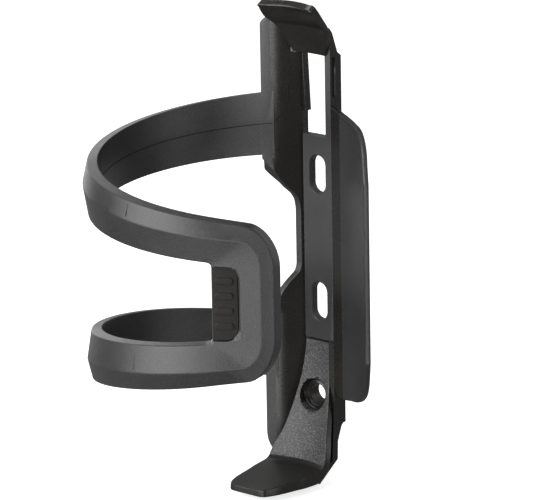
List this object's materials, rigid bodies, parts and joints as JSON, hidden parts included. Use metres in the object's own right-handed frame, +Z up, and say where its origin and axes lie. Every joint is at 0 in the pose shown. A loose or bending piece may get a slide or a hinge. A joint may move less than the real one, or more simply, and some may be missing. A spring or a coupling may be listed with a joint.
{
  "type": "bottle cage",
  "caption": "Side-entry bicycle bottle cage: a slotted spine with a curled arm loop on one side, a tall wing on the other, a top hook and a bottom foot.",
  "frame": {"origin": "middle of the 64 mm bolt spacing, on the flat back face that rests on the frame's bosses", "axes": "+X towards the side with the wing, -Y towards the bottle, +Z up along the bottle"},
  "size_m": [0.0765, 0.0804, 0.1392],
  "materials": {
    "body_nylon": "satin",
    "plate_nylon": "satin",
    "foot_nylon": "grained",
    "panel_nylon": "matt"
  },
  "bodies": {
    "root": {"slot_plate": "plate_nylon", "rail_left": "body_nylon", "rail_right": "body_nylon", "bolt_wall": "body_nylon", "bottle_foot": "foot_nylon", "top_hook": "body_nylon", "tail_wall": "body_nylon", "tail_lip": "body_nylon", "flange_upper": "body_nylon", "flange_lower": "body_nylon", "side_wing": "body_nylon", "arm_upper": "body_nylon", "arm_lower": "body_nylon", "front_loop": "body_nylon", "loop_panel": "panel_nylon"}
  },
  "joints": []
}
